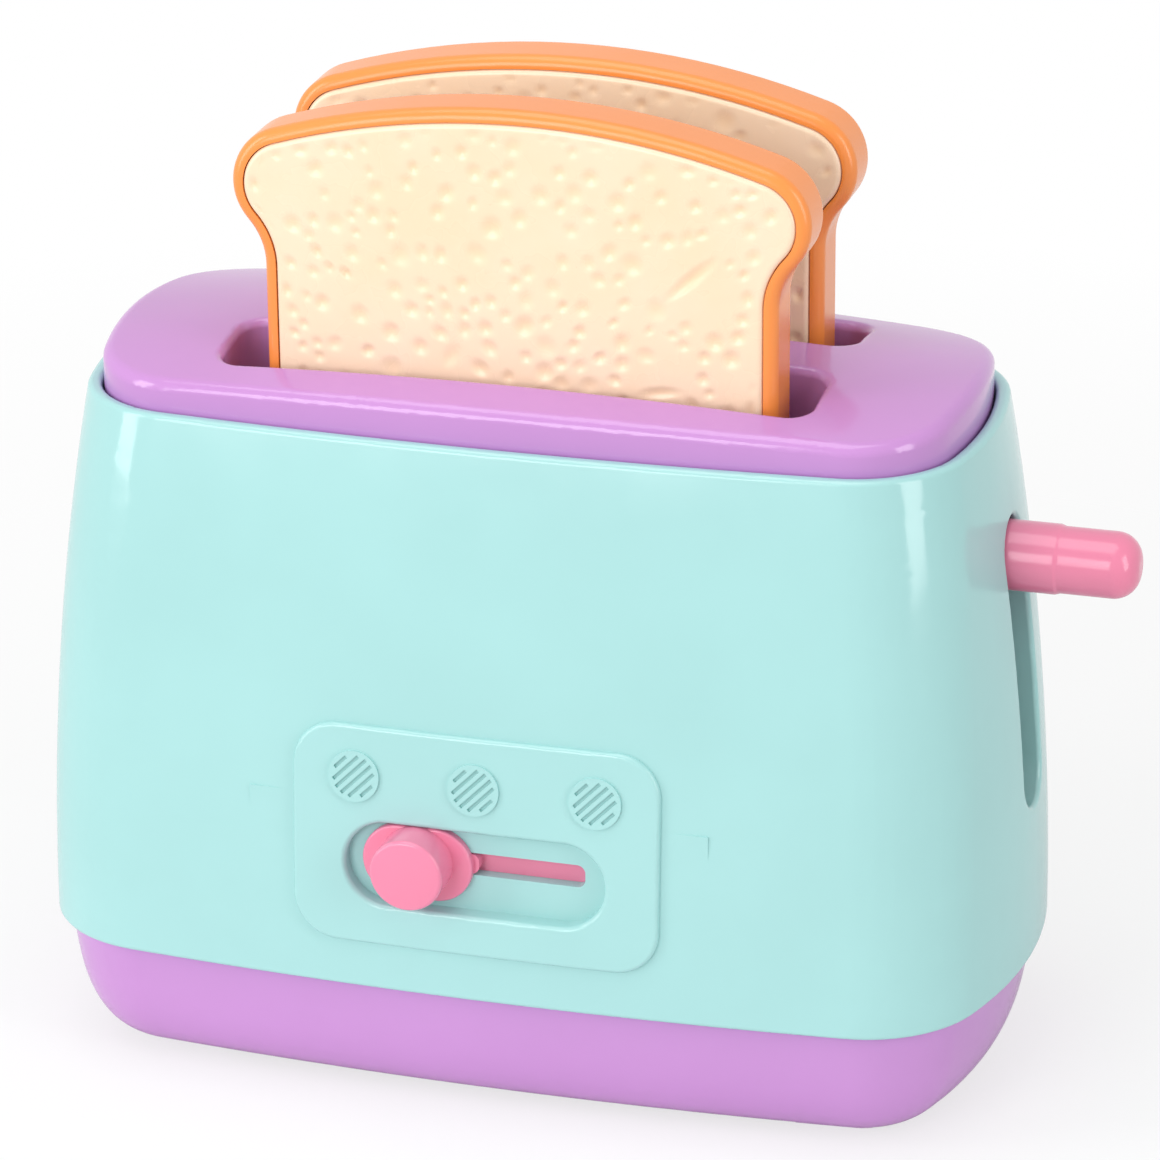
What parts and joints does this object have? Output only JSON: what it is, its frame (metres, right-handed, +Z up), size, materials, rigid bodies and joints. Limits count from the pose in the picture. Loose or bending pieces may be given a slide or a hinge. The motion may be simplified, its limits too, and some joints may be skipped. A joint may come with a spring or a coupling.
{
  "type": "toy toaster",
  "caption": "Toy pop-up toaster: a rounded plastic housing with bread slots, a spring-returned side lever on a bread carriage, a sliding front latch knob and lift-out slices of play toast.",
  "frame": {"origin": "middle of the base tray's flat underside, between the foot pads, on the housing's two planes of symmetry", "axes": "+X towards the lever end, -Y towards the front with the slider, +Z up"},
  "size_m": [0.1966, 0.1011, 0.1799],
  "materials": {
    "shell": "glossy pale teal",
    "cover": "glossy light purple",
    "base": "glossy light purple",
    "pink": "glossy pink",
    "carriage": "satin white",
    "crust": "glossy orange",
    "crumb": "satin cream with small dimples",
    "screw_steel": "zinc plated",
    "rod_steel": "bright drawn",
    "spring_steel": "spring wire and strip"
  },
  "bodies": {
    "housing": {"body_shell": "shell", "top_cover": "cover", "cover_screws": "screw_steel", "base_tray": "base", "base_screws": "screw_steel", "guide_rods": "rod_steel", "return_springs": "spring_steel"},
    "carriage": {"bread_carriage": "carriage", "lever": "pink", "lever_screws": "screw_steel", "catch_leaf": "spring_steel", "catch_rivet": "screw_steel"},
    "slider": {"slider_knob": "pink", "slide_plate": "pink", "slider_screw": "screw_steel"},
    "front_toast": {"front_slice_crust": "crust", "front_slice_front_crumb": "crumb", "front_slice_back_crumb": "crumb"},
    "back_toast": {"back_slice_crust": "crust", "back_slice_front_crumb": "crumb", "back_slice_back_crumb": "crumb"}
  },
  "joints": [
    {"name": "carriage_slide", "type": "slide", "parent": "housing", "child": "carriage", "axis": [0, 0, -1], "range_m": [0, 0.04], "stiffness_N_per_m": 60, "springref_m": -0.035, "deforming": ["return_springs"]},
    {"name": "slider_slide", "type": "slide", "parent": "housing", "child": "slider", "axis": [1, 0, 0], "range_m": [0, 0.019]},
    {"name": "front_toast_lift", "type": "slide", "parent": "carriage", "child": "front_toast", "axis": [0, 0, 1], "range_m": [0, 0.06]},
    {"name": "back_toast_lift", "type": "slide", "parent": "carriage", "child": "back_toast", "axis": [0, 0, 1], "range_m": [0, 0.06]}
  ]
}
